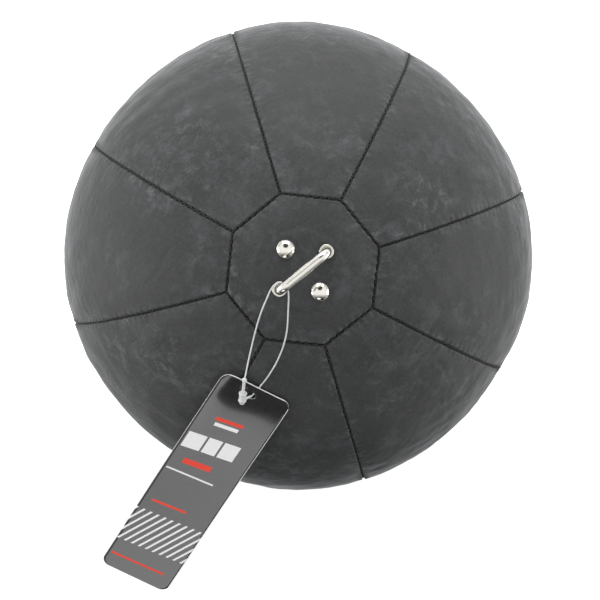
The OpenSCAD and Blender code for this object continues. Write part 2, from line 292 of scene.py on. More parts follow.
def linked_piece(name, points, faces, finishes, middle=None):
    """A mesh piece in the scene from its points and faces, which may be given about a middle."""
    mesh = bpy.data.meshes.new(name)
    mesh.from_pydata([tuple(point) for point in points], [], faces)
    for finish in finishes:
        mesh.materials.append(finish)
    mesh.shade_smooth()
    if middle is not None:
        mesh.transform(Matrix.Translation(middle))
    return placed(name, mesh)


def turned(profile, sides):
    """Points and faces of a closed form turned about X, from (x, radius) pairs, tip to tip."""
    points = [(profile[0][0], 0, 0)]
    for x, radius in profile[1:-1]:
        for side in range(sides):
            angle = math.tau * side / sides
            points.append((x, radius * math.cos(angle), radius * math.sin(angle)))
    points.append((profile[-1][0], 0, 0))
    faces = [(0, 1 + (side + 1) % sides, 1 + side) for side in range(sides)]
    for row in range(len(profile) - 3):
        first = 1 + row * sides
        for side in range(sides):
            after = (side + 1) % sides
            faces.append((first + side, first + after, first + sides + after, first + sides + side))
    first = 1 + (len(profile) - 3) * sides
    tip = len(points) - 1
    faces += [(first + side, first + (side + 1) % sides, tip) for side in range(sides)]
    return points, faces


def tube(path, radii, sides, closed=False):
    """Points and faces of a round tube along a path, with flat ends if it is open."""
    count = len(path)
    points = []
    up = None
    for place in range(count):
        after = path[(place + 1) % count] if closed else path[min(place + 1, count - 1)]
        before = path[place - 1] if closed or place else path[0]
        along = (after - before).normalized()
        if up is None:
            up = along.orthogonal().normalized()
        up = (up - up.dot(along) * along).normalized()
        side_way = along.cross(up)
        for side in range(sides):
            angle = math.tau * side / sides
            outward = math.cos(angle) * up + math.sin(angle) * side_way
            points.append(path[place] + radii[place] * outward)
    faces = []
    for place in range(count if closed else count - 1):
        here = place * sides
        there = (place + 1) % count * sides
        for side in range(sides):
            turn = (side + 1) % sides
            faces.append((here + side, here + turn, there + turn, there + side))
    if not closed:
        faces.append(tuple(reversed(range(sides))))
        faces.append(tuple((count - 1) * sides + side for side in range(sides)))
    return points, faces


def together(parts):
    """One list of points and one of faces from several."""
    points, faces = [], []
    for some_points, some_faces in parts:
        start = len(points)
        points += list(some_points)
        faces += [tuple(start + corner for corner in face) for face in some_faces]
    return points, faces


def put_through(piece, kind, name, **settings):
    """The piece after one modifier, which is applied."""
    modifier = piece.modifiers.new(name, kind)
    for key, value in settings.items():
        setattr(modifier, key, value)
    with bpy.context.temp_override(object=piece, active_object=piece, selected_objects=[piece]):
        bpy.ops.object.modifier_apply(modifier=name)


lock_middle = Vector((0.0095, -0.0129, 0.00275))
lock_turn = math.radians(22.5)
lock_profile = [(mm_x / 1000, mm_r / 1000) for mm_x, mm_r in (
    (-12.15, 0), (-12.0, 0.6), (-11.5, 1.1), (-10.75, 1.4), (-10.0, 1.1), (-9.5, 0.9),
    (-8, 0.82), (-5, 0.88), (-3.2, 0.92), (-2.75, 0.95), (-2.75, 1.9), (-2.62, 2.1),
    (-2.3, 2.2), (-1.9, 2.2), (-1.6, 1.95), (-1.2, 1.9), (1.4, 1.9), (1.7, 1.95),
    (2.0, 2.18), (2.4, 2.2), (2.65, 2.05), (2.75, 1.7), (2.75, 0))]
ring_middle = 0.00375
ring_radius = 0.001
ring_thickness = 0.0004
ring_steps = 28
ring_path = [Vector((ring_middle + ring_radius * math.cos(math.tau * step / ring_steps),
                     ring_radius * math.sin(math.tau * step / ring_steps), 0))
             for step in range(ring_steps)]
stub_from = Vector((0.0099, -0.0113, 0.00275))
stub_to = Vector((0.0080, -0.0085, 0.0003))
stub_steps = 8
stub_path = [stub_from.lerp(stub_to, step / stub_steps) for step in range(stub_steps + 1)]
stub_radii = [0.0008 - 0.00003 * step for step in range(stub_steps + 1)]
to_lock = Matrix.Translation(lock_middle) @ Matrix.Rotation(lock_turn, 4, "Z")
lock_points, lock_faces = together([
    turned(lock_profile, 32), tube(ring_path, [ring_thickness] * ring_steps, 12, closed=True)])
lock_points = [to_lock @ Vector(point) for point in lock_points]
lock_points, lock_faces = together([(lock_points, lock_faces), tube(stub_path, stub_radii, 16)])
snap_lock = linked_piece(
    "snap_lock", [to_tag @ Vector(point) for point in lock_points], lock_faces, [nylon])
put_through(snap_lock, "REMESH", "moulding", mode="VOXEL", voxel_size=0.00012, use_smooth_shade=True)
put_through(snap_lock, "SMOOTH", "moulded_fillets", factor=0.5, iterations=4)
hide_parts("loop_lock")
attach(snap_lock, "loop")

# ---- Sand and its bag ----
# Dry sand fills a ball-shaped bag of dark canvas at the very middle, which gives the ball
# its weight. The bag is sewn shut, so its cloth is drawn into shallow gathers.


def unevenness(points, wavelength, seed, waves=14):
    """Smooth seeded unevenness from about -1 to 1, at the given wavelength in metres."""
    chance = np.random.default_rng(seed)
    ways = chance.normal(size=(waves, 3))
    ways /= np.linalg.norm(ways, axis=1)[:, None]
    lengths = wavelength * chance.uniform(0.7, 1.5, waves)
    phases = chance.uniform(0, math.tau, waves)
    total = np.zeros(len(points))
    for way, length, phase in zip(ways, lengths, phases):
        total += np.sin(points @ way * math.tau / length + phase)
    return total / math.sqrt(waves / 2) / 1.6


def lathed(profile, sides):
    """Points and faces of a closed form turned about the pole axis, from heights and radii."""
    points, faces = turned(profile, sides)
    return np.array([(-z, y, x) for x, y, z in points]), faces


def ball_profile(radius, rows):
    """Half a circle from the lower pole to the upper one, as (height, radius) pairs."""
    return [(-radius * math.cos(math.pi * row / rows), radius * math.sin(math.pi * row / rows))
            for row in range(rows + 1)]


def inside_out(points, faces):
    """The same surface, facing the other way."""
    return points, [tuple(reversed(face)) for face in faces]


def cloth_finish(name, thread_light, thread_dark, yarns_per_metre):
    """Plain-woven cloth: over and under yarns, uneven dye and a soft nap."""
    finish, tree = new_finish(name)
    place = on_object(tree)
    warp, weft = [add(tree, "TexWave", {
        "bands_direction": way, "Scale": yarns_per_metre / 6, "Distortion": 0.4}, {
        "Vector": place}, "Fac") for way in ("DIAGONAL", "Z")]
    woven = maths(tree, "MULTIPLY", warp, weft)
    share = maths(tree, "MULTIPLY_ADD", woven, 0.5, cloudy(tree, place, 30, 4))
    cover(tree, {"Roughness": 0.9, "Sheen Weight": 0.2}, {
        "Base Color": two_tone(tree, share, thread_dark, thread_light),
        "Normal": raised(tree, woven, 0.5, 0.0003)})
    return finish


def heap_finish(name, grain_light, grain_dark, grains_per_metre, relief_depth):
    """A loose heap of grains or fibres, mottled at their own size."""
    finish, tree = new_finish(name)
    grains = cloudy(tree, on_object(tree), grains_per_metre, 6, 0.7, 1.5)
    cover(tree, {"Roughness": 0.95}, {
        "Base Color": two_tone(tree, grains, grain_dark, grain_light),
        "Normal": raised(tree, grains, 0.8, relief_depth)})
    return finish


bag_low, bag_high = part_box("weight_bag")
bag_radius = (bag_high.x - bag_low.x) / 2
bag_thickness = 0.0012
clearance = 0.0001
sand = heap_finish("dry_sand", (0.62, 0.47, 0.27), (0.33, 0.23, 0.12), 1600, 0.0006)
canvas = cloth_finish("cotton_canvas", (0.050, 0.050, 0.052), (0.016, 0.016, 0.018), 900)
centre = np.array(ball_centre)

sand_points, sand_faces = lathed(ball_profile(bag_radius - bag_thickness - 2 * clearance, 48), 72)
sand_points *= (1 - 0.012 * (1 + unevenness(sand_points, 0.03, 21)))[:, None]
sand_heap = linked_piece("sand_filling", sand_points + centre, sand_faces, [sand])
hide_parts("weight_fill")
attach(sand_heap, "ball")

bag_points, bag_faces = lathed(ball_profile(bag_radius, 60), 96)
bag_level = np.hypot(bag_points[:, 0], bag_points[:, 1]) / bag_radius
bag_turn = np.arctan2(bag_points[:, 1], bag_points[:, 0])
gathers = 0.0006 * (1 + np.cos(24 * bag_turn)) * np.exp(-((bag_level / 0.45) ** 2))
seam_dents = 0.0007 * np.exp(-((np.sin(3 * bag_turn) * bag_level / 0.08) ** 2))
bag_points *= (1 - (gathers + seam_dents) / bag_radius)[:, None]
bag_inner, bag_inner_faces = inside_out(
    *lathed(ball_profile(bag_radius - bag_thickness - clearance, 30), 48))
bag_slack = 0.999
bag_inner *= bag_slack
bag_points, bag_faces = together([(bag_points, bag_faces), (bag_inner, bag_inner_faces)])
sand_bag = linked_piece("sand_bag", np.array(bag_points) + centre, bag_faces, [canvas])
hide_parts("weight_bag")
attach(sand_bag, "ball")

# ---- Wadding ----
# Shredded textile waste, rammed in hard between the bag and the lining. It is hollowed
# out at the top for the anchor plate, its nuts and the rivets' tails.
wadding_low, wadding_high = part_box("wadding")
wadding_radius = (wadding_high.x - wadding_low.x) / 2
pocket_radius = 0.021
room_under_nuts = 0.004
pocket_floor = (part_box("bar_nut_1")[0].z - ball_centre.z) - room_under_nuts
textile_waste = heap_finish("textile_waste", (0.40, 0.38, 0.36), (0.16, 0.15, 0.15), 240, 0.0015)
lip_height = math.sqrt(wadding_radius**2 - pocket_radius**2)
lip_angle = math.acos(lip_height / wadding_radius)
wadding_rows = 72
wadding_profile = [(-wadding_radius * math.cos(angle), wadding_radius * math.sin(angle))
                   for angle in np.linspace(0, math.pi - lip_angle, wadding_rows)]
wadding_profile += [(lip_height - (lip_height - pocket_floor) * step / 5, pocket_radius)
                    for step in range(1, 6)]
wadding_profile += [(pocket_floor, pocket_radius * share) for share in (0.75, 0.5, 0.25, 0)]
wadding_points, wadding_faces = lathed(wadding_profile, 120)
from_axis = np.hypot(wadding_points[:, 0], wadding_points[:, 1])
in_pocket = (wadding_points[:, 2] > 0) & (from_axis < pocket_radius * 1.03)
lumps = 0.0008 * (1 + unevenness(wadding_points, 0.022, 22))
lumps += 0.0003 * (1 + unevenness(wadding_points, 0.008, 23))
wadding_points *= (1 - np.where(in_pocket, 0, lumps) / wadding_radius)[:, None]
hollow_points, hollow_faces = inside_out(*lathed(ball_profile(bag_radius + clearance, 40), 64))
wadding_points, wadding_faces = together([
    (wadding_points, wadding_faces), (hollow_points, hollow_faces)])
stuffing = linked_piece(
    "packed_wadding", np.array(wadding_points) + centre, wadding_faces, [textile_waste])
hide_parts("wadding")
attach(stuffing, "ball")

# ---- Panels, and the canvas lining ----
# The lining is dark canvas, cut like the leather: eight gores and a cap for each pole. It
# keeps the wadding from the leather's stitches. Its top cap is open for the plate.
cap_corner = 0.0412
cap_side = cap_corner * math.cos(math.radians(22.5))
leather_thickness = 0.0022
lining_thickness = 0.0009
lining_gap = 0.0004
lining_radius = ball_radius - leather_thickness - clearance


def grid_faces(rows, columns, start=0, flip=False, closed=False):
    """Square faces of a grid of points, which may close on itself across."""
    index = start + np.arange(rows * columns).reshape(rows, columns)
    if closed:
        index = np.concatenate([index, index[:, :1]], axis=1)
    corners = np.stack([index[:-1, :-1], index[1:, :-1], index[1:, 1:], index[:-1, 1:]], axis=-1)
    corners = corners.reshape(-1, 4)
    if flip:
        corners = corners[:, ::-1]
    return [tuple(face) for face in corners.tolist()]


def rim_of(rows, columns, start=0):
    """The numbers of the points round the outside of a grid, in order."""
    index = start + np.arange(rows * columns).reshape(rows, columns)
    return np.concatenate([index[0, :-1], index[:-1, -1], index[-1, :0:-1], index[:0:-1, 0]]).tolist()


def rim_shares(rows, columns):
    """Share of the way round for each point of a grid's rim, a quarter for each side."""
    across = np.linspace(0, 1, columns)[:-1]
    down = np.linspace(0, 1, rows)[:-1]
    return np.concatenate([across, 1 + down, 2 + across, 3 + down, [4]]) / 4


def laced(outer, outer_share, inner, inner_share):
    """Triangles between two closed rings of points, matched by their share of the way round."""
    faces = []
    a = b = 0
    while a < len(outer) or b < len(inner):
        next_a = outer_share[a + 1] if a < len(outer) else 9
        next_b = inner_share[b + 1] if b < len(inner) else 9
        here, there = outer[a % len(outer)], inner[b % len(inner)]
        if next_a <= next_b:
            faces.append((here, outer[(a + 1) % len(outer)], there))
            a += 1
        else:
            faces.append((here, inner[(b + 1) % len(inner)], there))
            b += 1
    return faces


def closed_panel(outer, inner):
    """A closed panel from a fine grid for its outer face and a coarse one for its inner face."""
    outer_size, inner_size = outer.shape[:2], inner.shape[:2]
    start = outer_size[0] * outer_size[1]
    faces = grid_faces(*outer_size)
    faces += laced(rim_of(*outer_size), rim_shares(*outer_size),
                   rim_of(*inner_size, start), rim_shares(*inner_size))
    faces += grid_faces(*inner_size, start, flip=True)
    return np.concatenate([outer.reshape(-1, 3), inner.reshape(-1, 3)]), faces


def gore_grid(radius, gap, edge, middle_columns, middle_rows):
    """Polar angle and azimuth for each point of a gore centred on +X, with its distances to the
    side and end seams. The outer rows and columns keep to the edge's steps."""
    across = np.linspace(0, 1, middle_columns + 2)[1:-1]
    down = np.linspace(0, 1, middle_rows + 2)[1:-1][:, None]
    count = len(edge)
    azimuth = np.zeros((2 * count + middle_rows, 2 * count + middle_columns))
    for _ in range(6):
        top = (cap_side + gap / 2 + edge[:, None]) / (radius * np.cos(azimuth[:count]))
        top = np.arcsin(np.clip(top, 0, 1))
        bottom = (cap_side + gap / 2 + edge[:, None]) / (radius * np.cos(azimuth[::-1][:count]))
        bottom = math.pi - np.arcsin(np.clip(bottom, 0, 1))
        polar = np.concatenate([top, top[-1] * (1 - down) + bottom[-1] * down, bottom[::-1]])
        level = radius * np.sin(polar)
        side = math.pi / 8 - np.arcsin((gap / 2 + edge[None, :]) / level[:, :count])
        limit = side[:, -1:]
        azimuth = np.concatenate([-side, -limit + 2 * limit * across[None, :], side[:, ::-1]], axis=1)
    to_side = level * np.sin(math.pi / 8 - np.abs(azimuth)) - gap / 2
    to_end = level * np.cos(azimuth) - cap_side - gap / 2
    return polar, azimuth, to_side, to_end


def on_ball(polar, azimuth, radius):
    """Points about the ball's centre from polar angle, azimuth and radius."""
    return np.stack([
        radius * np.sin(polar) * np.cos(azimuth), radius * np.sin(polar) * np.sin(azimuth),
        radius * np.cos(polar)], axis=-1)


def cap_grid(gap, edge, middle_rows, per_side, inner_radius=0.0):
    """Radius and azimuth about the pole axis for each point of an octagonal cap, rim first, with
    its distance to the seam. The rings turn from octagons into circles towards the pole."""
    turn = (np.arange(8 * per_side) + 0.5) * math.tau / (8 * per_side)
    from_side = (turn + math.pi / 8) % (math.pi / 4) - math.pi / 8
    reach = (cap_side - gap / 2 - edge[:, None]) / np.cos(from_side)[None, :]
    last = cap_side - gap / 2 - edge[-1]
    share = np.linspace(1, max(inner_radius / last, 0.03), middle_rows + 1)[1:][:, None]
    ring = share * last * (share / np.cos(from_side)[None, :] + 1 - share)
    radius = np.concatenate([reach, ring])
    azimuth = np.broadcast_to(turn, radius.shape)
    return radius, azimuth, cap_side - gap / 2 - radius * np.cos(from_side)[None, :]


def at_pole(radius, azimuth, height, pole):
    """Points of a cap about the ball's centre, at the upper pole, 1, or the lower, -1."""
    return np.stack([
        radius * np.cos(azimuth), radius * np.sin(azimuth) * pole, height * pole], axis=-1)


def closed_cap(outer, inner, hollow=False):
    """A closed cap from a fine and a coarse set of rings; both close in the middle with a face,
    or meet round a hollow."""
    rows, columns = outer.shape[:2]
    inner_rows, inner_columns = inner.shape[:2]
    start = rows * columns
    faces = grid_faces(rows, columns, closed=True)
    around = np.linspace(0, 1, columns + 1)
    inner_around = np.linspace(0, 1, inner_columns + 1)
    inner_rim = list(range(start, start + inner_columns))
    faces += laced(list(range(columns)), around, inner_rim, inner_around)
    faces += grid_faces(inner_rows, inner_columns, start, flip=True, closed=True)
    last = list(range((rows - 1) * columns, rows * columns))
    end = start + inner_rows * inner_columns
    inner_last = list(range(end - inner_columns, end))
    if hollow:
        faces += [tuple(reversed(face)) for face in laced(last, around, inner_last, inner_around)]
    else:
        faces += [tuple(last), tuple(reversed(inner_last))]
    return np.concatenate([outer.reshape(-1, 3), inner.reshape(-1, 3)]), faces


lining_edge = np.array([0, 0, 1.0, 3.0]) / 1000
lining_back_edge = np.array([0.0005])
for number in range(1, 9):
    turn = math.radians(45 * (number - 1))
    polar, azimuth, _, _ = gore_grid(
        lining_radius, lining_gap, lining_edge, middle_columns=16, middle_rows=60)
    lining_outer = on_ball(polar, azimuth + turn, lining_radius)
    slack = 0.00008 * (unevenness(lining_outer.reshape(-1, 3), 0.02, 80 + number) - 1)
    lining_outer *= (1 + slack / lining_radius).reshape(polar.shape)[..., None]
    deep = np.zeros(polar.shape, bool)
    deep[[0, -1]] = True
    deep[:, [0, -1]] = True
    lining_outer[deep] *= 1 - (lining_thickness - clearance) / lining_radius
    polar, azimuth, _, _ = gore_grid(
        lining_radius - lining_thickness, lining_gap, lining_back_edge, middle_columns=8, middle_rows=30)
    lining_inner = on_ball(polar, azimuth + turn, lining_radius - lining_thickness)
    lining_points, lining_faces = closed_panel(lining_outer, lining_inner)
    lining = linked_piece(
        f"canvas_gore_{number}", lining_points, lining_faces, [canvas], ball_centre)
    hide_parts(f"lining_gore_{number}")
    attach(lining, "ball")

for pole, name, node, hollow_radius in ((1, "canvas_top_ring", "lining_top_ring", pocket_radius),
                                        (-1, "canvas_bottom_cap", "lining_bottom_cap", 0)):
    radius, azimuth, _ = cap_grid(
        lining_gap, lining_edge, middle_rows=14, per_side=18, inner_radius=hollow_radius)
    height = np.sqrt(lining_radius**2 - radius**2)
    height[0] -= lining_thickness - clearance
    lining_outer = at_pole(radius, azimuth, height, pole)
    radius, azimuth, _ = cap_grid(
        lining_gap, lining_back_edge, middle_rows=7, per_side=9, inner_radius=hollow_radius)
    height = np.sqrt((lining_radius - lining_thickness)**2 - radius**2)
    lining_inner = at_pole(radius, azimuth, height, pole)
    lining_points, lining_faces = closed_cap(lining_outer, lining_inner, hollow_radius > 0)
    lining = linked_piece(name, lining_points, lining_faces, [canvas], ball_centre)
    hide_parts(node)
    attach(lining, "ball")

# ---- Leather gores ----
# Eight leaf-shaped panels of charcoal leather, cut across at both ends to meet the
# octagonal caps. Their edges turn in at the seams, where the stitches pull them down.
seam_gap = 0.0012
stitch_pitch = 0.0042
edge_steps = np.array([
    -0.58, -0.3, -0.12, 0, 0.12, 0.3, 0.55, 0.85, 1.2, 1.7, 2.4, 3.2, 4.2, 5.4, 6.8]) / 1000
leather_back_edge = np.array([0.0004])
rounded_width, rounded_depth = 0.0009, 0.0007
pulled_width, pulled_depth = 0.006, 0.0005
turned_in_width, turned_in_depth = 0.0005, 0.0009
pucker_width, pucker_height = 0.0028, 0.0002
squareness, square_turn = 0.0008, math.radians(135.6)
slow_swell, fine_swell, finest_swell = 0.0003, 0.00018, 0.00006


def edge_drop(distance):
    """How far the surface lies below the ball at a distance from a panel's edge. Past the edge it
    is turned in, down to where it meets its neighbour."""
    inside = np.clip(1 - distance / rounded_width, 0, 1)
    rounding = rounded_depth * (1 - np.sqrt(1 - inside**2))
    pulled = pulled_depth * np.exp(-((np.clip(distance, 0, 1) / pulled_width) ** 2))
    turned_in = turned_in_depth * np.clip(-distance / turned_in_width, 0, 1) ** 0.7
    return rounding + pulled + turned_in


def pucker(along, distance, side):
    """Small swellings between stitches, strongest just beside the seam."""
    fade = np.exp(-((distance / pucker_width) ** 2))
    uneven = 1 + 0.5 * np.sin(along / 0.0131 + 2 * side)
    return pucker_height * fade * uneven * np.cos(math.tau * along / stitch_pitch + side)


def swelling(points):
    """The stuffed ball's slow departure from round."""
    azimuth = np.arctan2(points[:, 1], points[:, 0])
    level = np.hypot(points[:, 0], points[:, 1]) / np.linalg.norm(points, axis=1)
    square = squareness * np.cos(4 * azimuth + square_turn) * level**2
    return square + slow_swell * unevenness(points, 0.075, 5)


def crease(points, start, end, depth, width, seed):
    """A shallow fold pressed in along a slightly wandering line between two places."""
    a = np.array(start) * ball_radius
    b = np.array(end) * ball_radius
    share = (points - a) @ (b - a) / ((b - a) @ (b - a))
    near = a + np.clip(share, 0, 1)[:, None] * (b - a)
    near *= (ball_radius / np.linalg.norm(near, axis=1))[:, None]
    sideways = np.cross(b - a, near)
    sideways /= np.linalg.norm(sideways, axis=1)[:, None]
    off = ((points - near) * sideways).sum(1) + 0.001 * unevenness(near, 0.016, seed, waves=5)
    fade = np.clip((1.05 - 2 * np.abs(share - 0.5)) / 0.6, 0, 1)
    lip = 0.4 * np.exp(-(((off - 2.2 * width) / (1.4 * width)) ** 2))
    return -depth * fade * (np.exp(-((off / width) ** 2)) - lip)


def toned(tree, colour, share):
    """A colour made darker or lighter by a share."""
    return add(tree, "VectorMath", {"operation": "SCALE"}, {0: colour, "Scale": share})


def leather_finish(name):
    """Charcoal leather: cloudy dye, pale scuffs, rubbed places, grain and short wrinkles, with
    painted shade in its seams and in the grain's hollows.
    """
    finish, tree = new_finish(name)
    place = on_object(tree)
    hide = add(tree, "Attribute", {"attribute_name": "hide"}, {}, "Fac")
    to_edge = add(tree, "Attribute", {"attribute_name": "to_edge"}, {}, "Fac")

    # dye, with scuffs over it
    cloud = cloudy(tree, place, 26, 7, 0.62, hide=hide)
    dye_share = ranged(tree, cloud, 0.3, 0.7)
    dye = two_tone(tree, dye_share, (0.024, 0.025, 0.026), (0.046, 0.047, 0.048))
    scuff_share = ranged(tree, cloudy(tree, place, 58, 10, 0.72, 0.3, hide), 0.52, 0.78, 0, 0.7)
    scuffed = two_tone(tree, scuff_share, dye, (0.105, 0.112, 0.114))

    # rubbed marks, in patches and along the edges
    rub_marks = ranged(tree, cloudy(tree, place, 150, 8, 0.75, 0.5, hide), 0.50, 0.66)
    rub_patches = ranged(tree, cloudy(tree, place, 20, 3, hide=hide), 0.47, 0.66, 0.05, 0.8)
    edge_wear = ranged(tree, to_edge, 0.8, 5.0, 0.45, 0.0)
    rub_share = maths(tree, "MULTIPLY", rub_marks, maths(tree, "ADD", rub_patches, edge_wear))
    rubbed = two_tone(tree, rub_share, scuffed, (0.125, 0.130, 0.133))

    # painted shade where it is tucked into the seam, and in the hollows of the grain
    painted_seam_shade = toned(tree, rubbed, ranged(tree, to_edge, -0.35, 0.2, 0.1, 1.0))
    grain = add(tree, "TexVoronoi", {"feature": "SMOOTH_F1", "Scale": 850, "Randomness": 1}, {
        "Vector": place}, "Distance")
    # painted shade in the grain's hollows, and painted light on its tops
    colour = toned(tree, painted_seam_shade, ranged(tree, grain, 0.1, 0.75, 1.14, 0.82))

    # wrinkles in patches, then grain, then pores
    drawn_out = add(tree, "Mapping", {
        "Rotation": (0.2, 0, math.radians(-9)), "Scale": (130, 760, 300)}, {"Vector": place})
    wrinkles = cloudy(tree, drawn_out, 1, 5, 0.62, 0.6, hide)
    wrinkle_patches = ranged(tree, cloudy(tree, place, 17, 2, hide=hide), 0.50, 0.68, 0.05)
    wrinkled = raised(tree, maths(tree, "MULTIPLY", wrinkles, wrinkle_patches), 0.7, 0.0009)
    grained = raised(tree, grain, 0.5, 0.00016, wrinkled, sunk=True)
    pored = raised(tree, cloudy(tree, place, 1900, 3), 0.3, 0.00007, grained)
    cover(tree, {
        "Specular IOR Level": 0.4, "Sheen Weight": 0.44, "Sheen Roughness": 0.26,
        "Sheen Tint": (0.92, 0.95, 0.97, 1)}, {
        "Base Color": colour, "Roughness": ranged(tree, cloud, 0.3, 0.7, 0.52, 0.72),
        "Normal": pored})
    return finish


def mark_hide(piece, value):
    """Every panel is cut from its own part of the hide."""
    hide = piece.data.attributes.new("hide", "FLOAT", "POINT")
    hide.data.foreach_set("value", np.full(len(piece.data.vertices), value, np.float32))


def mark_edges(piece, distances):
    """How far each point of the outer face lies from the panel's edge, in millimetres."""
    edges = piece.data.attributes.new("to_edge", "FLOAT", "POINT")
    values = np.zeros(len(piece.data.vertices), np.float32)
    values[:distances.size] = distances.reshape(-1) * 1000
    edges.data.foreach_set("value", values)


leather = leather_finish("charcoal_leather")
creases = (
    # from (azimuth, elevation), to, depth, width
    ((-64.6, 46.3), (-54.6, 28.1), 0.00045, 0.0009),
    ((-72, 50), (-79, 34), 0.00025, 0.0012),
    ((-77, 42), (-86, 24), 0.0002, 0.0010),
    ((-100, 36), (-97, 20), 0.0002, 0.0011),
    ((127, 60), (150, 50), 0.0002, 0.0012),
    ((118, 40), (102, 30), 0.00025, 0.0018),
    ((68, 30), (78, 12), 0.0002, 0.0014),
    ((20, 52), (2, 44), 0.0002, 0.0015),
)


def worn(points, seed):
    """What creases, uneven filling and slack leather add to the radius."""
    rise = swelling(points) + fine_swell * unevenness(points, 0.016, seed)
    rise += finest_swell * unevenness(points, 0.006, seed + 20)
    for place, (start, end, depth, width) in enumerate(creases):
        rise += crease(points, direction(*start), direction(*end), depth, width, 90 + place)
    return rise


for number in range(1, 9):
    turn = math.radians(45 * (number - 1))
    polar, azimuth, to_side, to_end = gore_grid(
        ball_radius, seam_gap, edge_steps, middle_columns=54, middle_rows=330)
    base = on_ball(polar, azimuth + turn, ball_radius).reshape(-1, 3)
    beside = azimuth * ball_radius * np.sin(polar)
    rise = -np.maximum(edge_drop(to_side), edge_drop(to_end))
    rise += pucker(polar * ball_radius, to_side.clip(0), np.where(azimuth > 0, 0, math.pi))
    rise += pucker(beside, to_end.clip(0), 0)
    rise = rise.reshape(-1) + worn(base, 40 + number)
    outer = (base * (1 + rise / ball_radius)[:, None]).reshape(*polar.shape, 3)
    polar, azimuth, _, _ = gore_grid(
        ball_radius - leather_thickness, seam_gap, leather_back_edge, middle_columns=10, middle_rows=40)
    inner = on_ball(polar, azimuth + turn, ball_radius - leather_thickness)
    gore = linked_piece(
        f"leather_gore_{number}", *closed_panel(outer, inner), [leather], ball_centre)
    mark_hide(gore, 1.7 * number)
    mark_edges(gore, np.minimum(to_side, to_end))
    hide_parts(f"gore_{number}")
    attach(gore, "ball")

# ---- Leather caps ----
# An octagon of the same leather closes each pole. The top one is pressed flat over its
# backing disc, whose rim shows through, and is punched for the bar's legs and the rivets.
rivet_head = 0.0024
nut_low, nut_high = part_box("bar_nut_1")
rivet_low, rivet_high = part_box("rivet_1")
flat_height = rivet_high.z - ball_centre.z - rivet_head
leg_place = (nut_low.x + nut_high.x) / 2
rivet_place = (rivet_low.y + rivet_high.y) / 2
cap_steps = edge_steps[edge_steps < 0.006]
fixings = (
    # x, y, radius of the leather pressed down round it, radius of its hole
    (leg_place, 0, 0.0040, 0.00315), (-leg_place, 0, 0.0040, 0.00315),
    (0, rivet_place, 0.0050, 0.0018), (0, -rivet_place, 0.0050, 0.0018))
press_depth, press_width = 0.0004, 0.0014
disc_marks = (
    # a groove outside the disc's rim and a ridge inside it: radius, width, height
    (0.0222, 0.0016, -0.00035), (0.0192, 0.0012, 0.00012))


def near_ring(reach, radius, width):
    """1 on a ring of that radius, falling away smoothly on both sides."""
    return np.exp(-(((reach - radius) / width) ** 2))


for pole, name, node in ((1, "top_octagon", "top_cap"), (-1, "bottom_octagon", "bottom_cap")):
    radius, azimuth, to_seam = cap_grid(seam_gap, cap_steps, middle_rows=40, per_side=48)
    base = at_pole(radius, azimuth, np.sqrt(ball_radius**2 - radius**2), pole).reshape(-1, 3)
    from_side = (azimuth + math.pi / 8) % (math.pi / 4) - math.pi / 8
    rise = -edge_drop(to_seam) + pucker(radius * np.sin(from_side), to_seam.clip(0), 1)
    rise = rise.reshape(-1) + worn(base, 55 if pole > 0 else 56)
    outer = base * (1 + rise / ball_radius)[:, None]
    if pole > 0:
        over = outer[:, 2] - flat_height
        soft = 0.0002
        outer[:, 2] -= soft * np.logaddexp(0, over / soft)
        reach = np.hypot(outer[:, 0], outer[:, 1])
        for mark, width, swell in disc_marks:
            outer[:, 2] += swell * near_ring(reach, mark, width)
        for x, y, pressed, _ in fixings:
            away = np.hypot(outer[:, 0] - x, outer[:, 1] - y)
            outer[:, 2] -= press_depth * near_ring(away, pressed, press_width)
            held = np.minimum(outer[:, 2], flat_height - clearance)
            outer[:, 2] = np.where(away < pressed, held, outer[:, 2])
        outer[:, 2] += 0.00009 * unevenness(outer, 0.012, 58)
    outer = outer.reshape(*radius.shape, 3)
    radius, azimuth, _ = cap_grid(seam_gap, leather_back_edge, middle_rows=16, per_side=12)
    height = np.sqrt((ball_radius - leather_thickness)**2 - radius**2)
    if pole > 0:
        height = np.minimum(height, flat_height - leather_thickness)
    inner = at_pole(radius, azimuth, height, pole)
    cap = linked_piece(name, *closed_cap(outer, inner), [leather], ball_centre)
    mark_edges(cap, to_seam)
    if pole > 0:
        punches = []
        for x, y, _, hole in fixings:
            punch, punch_faces = lathed([(-0.01, 0), (-0.01, hole), (0.01, hole), (0.01, 0)], 40)
            punches.append((punch + np.array((x, y, flat_height)) + centre, punch_faces))
        punch = linked_piece("punch", *together(punches), [leather])
        put_through(cap, "BOOLEAN", "punched", operation="DIFFERENCE", object=punch, solver="EXACT")
        bpy.data.objects.remove(punch)
    mark_hide(cap, 15.3 if pole > 0 else 18.9)
    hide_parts(node)
    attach(cap, "ball")

# ---- Stitches ----
# Waxed linen thread, black, hand-sewn through the turned-in edges. It crosses from
# panel to panel down in each seam and draws them together.
thread_radius = 0.00042
thread_depth = 0.00135
thread_path_radius = ball_radius - thread_depth
thread_sway = 0.0004
thread_dip = 0.0003
thread_fade = 0.003


def waxed_thread_finish(name):
    """Black waxed thread: two plies' twist and a dull shine."""
    finish, tree = new_finish(name)
    fibres = cloudy(tree, on_object(tree), 1800, 4, distortion=2)
    cover(tree, {"Roughness": 0.6}, {
        "Base Color": two_tone(tree, fibres, (0.004, 0.004, 0.004), (0.016, 0.016, 0.017)),
        "Normal": raised(tree, fibres, 0.6, 0.0001)})
    return finish


def stitched(along):
    """Where the thread lies beside the seam's middle, and how deep, along its way."""
    phase = math.tau * along / stitch_pitch
    return thread_sway * math.sin(phase), thread_dip * math.cos(2 * phase)


